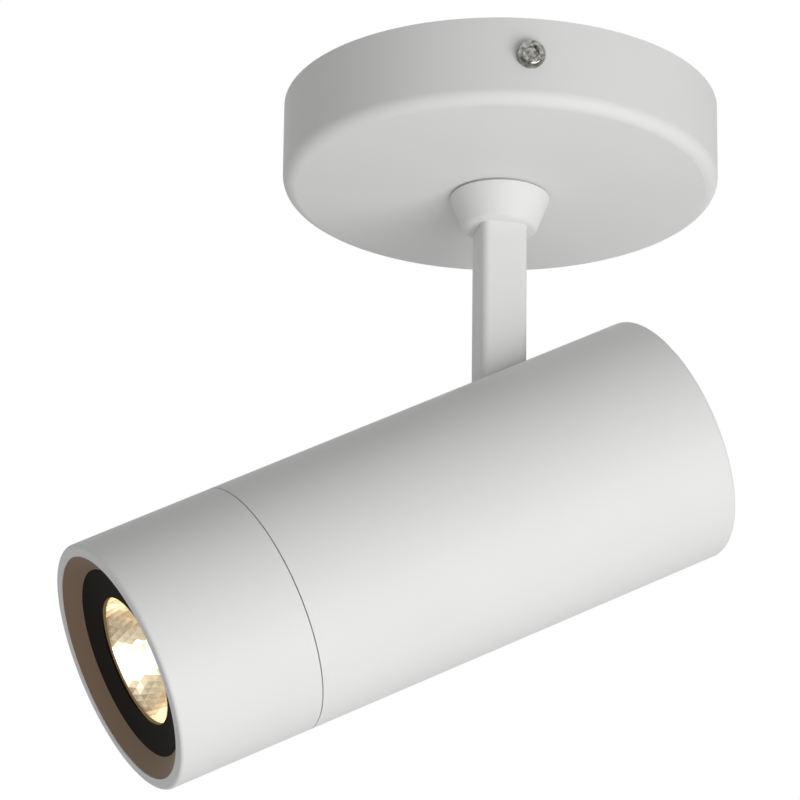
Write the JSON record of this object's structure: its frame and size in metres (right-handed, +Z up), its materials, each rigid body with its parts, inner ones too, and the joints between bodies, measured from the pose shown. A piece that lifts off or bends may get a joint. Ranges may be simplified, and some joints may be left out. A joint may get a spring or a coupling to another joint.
{
  "type": "surface mounted ceiling spotlight",
  "caption": "Ceiling spotlight: round canopy, panning square stem and a tilting cylinder head with a recessed reflector lamp.",
  "frame": {"origin": "centre of the canopy on the ceiling plane, midway between the two strap slots", "axes": "+Z up into the ceiling; +Y along the strap through the two side screws; the head points towards -X, panned 8 degrees towards -Y and tilted 28 degrees down"},
  "size_m": [0.1589, 0.1102, 0.1771],
  "materials": {
    "powder_coat": "white powder coat, fine texture, on aluminium",
    "coated_steel": "white powder coat on steel",
    "zinc_steel": "zinc plated",
    "bright_steel": "bright stainless steel",
    "brass": "turned brass",
    "foam_tape": "closed cell foam",
    "driver_case": "moulded polycarbonate, fine spark texture",
    "terminal_plastic": "moulded polyamide",
    "lead_insulation": "silicone insulation",
    "nylon": "black nylon",
    "bare_aluminium": "bare die cast aluminium",
    "seal_rubber": "black rubber",
    "heat_pad": "grey silicone pad",
    "board_mask": "white solder mask on a metal core board",
    "phosphor": "emissive phosphor coating, warm white",
    "holder_plastic": "moulded white plastic",
    "reflector_aluminium": "bright anodised, faceted, lit warm by the lamp",
    "trim_taupe": "satin brown-grey",
    "baffle_black": "matt black",
    "clear_glass": "clear, polished"
  },
  "bodies": {
    "canopy": {"canopy_cover": "powder_coat", "mounting_bracket": "zinc_steel", "canopy_screws": "bright_steel", "driver_tape": "foam_tape", "led_driver": "driver_case", "terminal_block": "terminal_plastic", "terminal_screws": "brass", "driver_leads": "lead_insulation", "earth_screw": "brass"},
    "stem": {"collar_washer": "nylon", "swivel_collar": "coated_steel", "friction_washer": "nylon", "stop_washer": "zinc_steel", "swivel_nut": "zinc_steel", "swivel_nipple": "zinc_steel", "stem": "coated_steel", "stem_leads": "lead_insulation"},
    "head": {"rear_housing": "powder_coat", "rear_cap": "powder_coat", "tie_screws": "bright_steel", "heat_sink": "bare_aluminium", "hinge_bracket": "zinc_steel", "hinge_washers": "nylon", "hinge_bolt": "bright_steel", "disc_spring": "zinc_steel", "hinge_nut": "zinc_steel", "bracket_screws": "bright_steel", "barrel_seal": "seal_rubber", "thermal_pad": "heat_pad", "led_board": "board_mask", "led_chip": "phosphor", "led_holder": "holder_plastic", "board_leads": "lead_insulation", "holder_screws": "bright_steel", "reflector": "reflector_aluminium"},
    "front_barrel": {"front_barrel": "powder_coat", "trim_ring": "trim_taupe", "glare_baffle": "baffle_black", "cover_lens": "clear_glass"}
  },
  "joints": [
    {"name": "pan", "type": "hinge", "parent": "canopy", "child": "stem", "pos_m": [0, 0, -0.0239], "axis": [0, 0, 1], "range_deg": [-168, 152]},
    {"name": "tilt", "type": "hinge", "parent": "stem", "child": "head", "pos_m": [0, 0, -0.1031], "axis": [0.1392, -0.9903, 0], "range_deg": [-28, 62]},
    {"name": "barrel_removal", "type": "slide", "parent": "head", "child": "front_barrel", "axis": [-0.8744, -0.1229, -0.4695], "range_m": [0, 0.045]}
  ]
}
